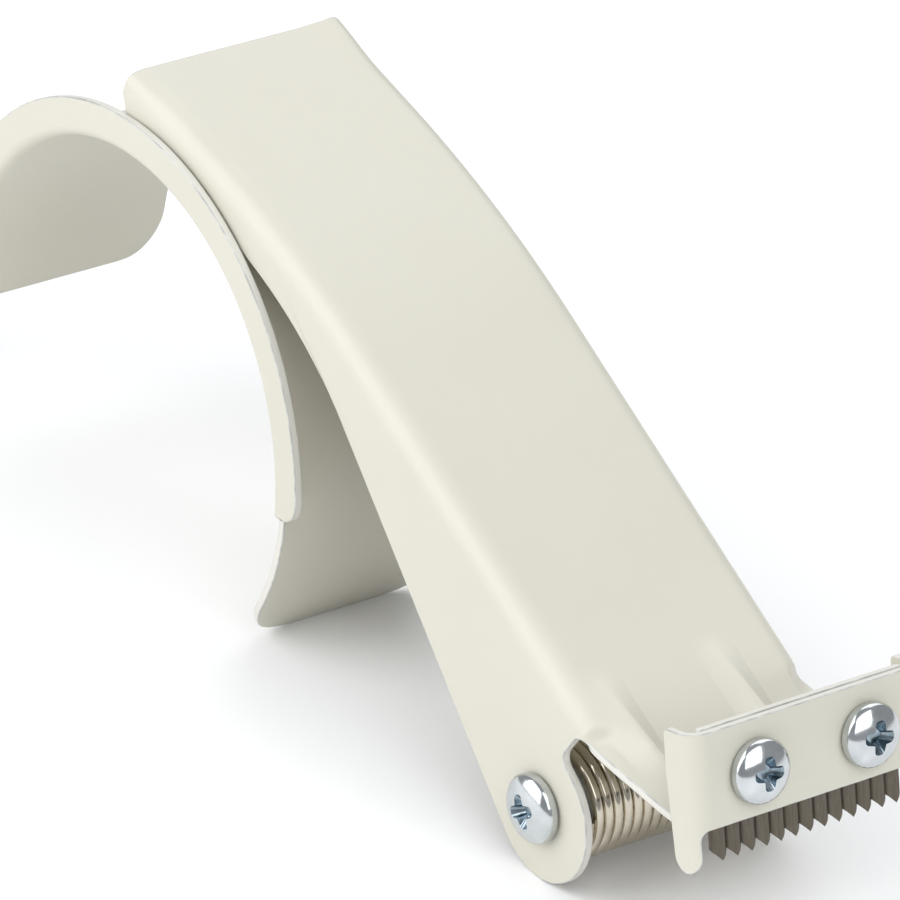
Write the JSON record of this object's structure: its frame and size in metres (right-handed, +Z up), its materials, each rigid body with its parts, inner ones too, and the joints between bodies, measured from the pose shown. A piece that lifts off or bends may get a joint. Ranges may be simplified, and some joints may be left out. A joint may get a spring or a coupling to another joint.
{
  "type": "strapping tape dispenser",
  "caption": "Hand-held strapping tape dispenser: sprung C-shaped core hub with a side rim, pressed channel arm, coil roller between ears, and a toothed blade behind a screwed guard.",
  "frame": {"origin": "on the floor under the middle of the tool's box, as it stands on the hub's lower end and the two roller ears", "axes": "+X forward to the blade, +Y across the tool away from the rimmed side, +Z up"},
  "size_m": [0.1784, 0.0428, 0.0735],
  "materials": {
    "enamel": "satin cream enamel",
    "blade_steel": "dark oiled tool steel",
    "zinc": "bright zinc plate",
    "nickel": "bright nickel plate",
    "core_nylon": "plain moulded"
  },
  "bodies": {
    "frame": {"arm": "enamel", "core_hub": "enamel", "blade_guard": "enamel", "cutting_blade": "blade_steel", "blade_screw_near": "zinc", "blade_screw_far": "zinc", "axle_screw_near": "zinc", "axle_screw_far": "zinc", "roller_shaft": "zinc"},
    "roller": {"roller_core": "core_nylon", "roller_coil": "nickel"}
  },
  "joints": [
    {"name": "roller_spin", "type": "hinge", "parent": "frame", "child": "roller", "pos_m": [0.05295, 0, 0.01061], "axis": [0, 1, 0], "continuous": true}
  ]
}
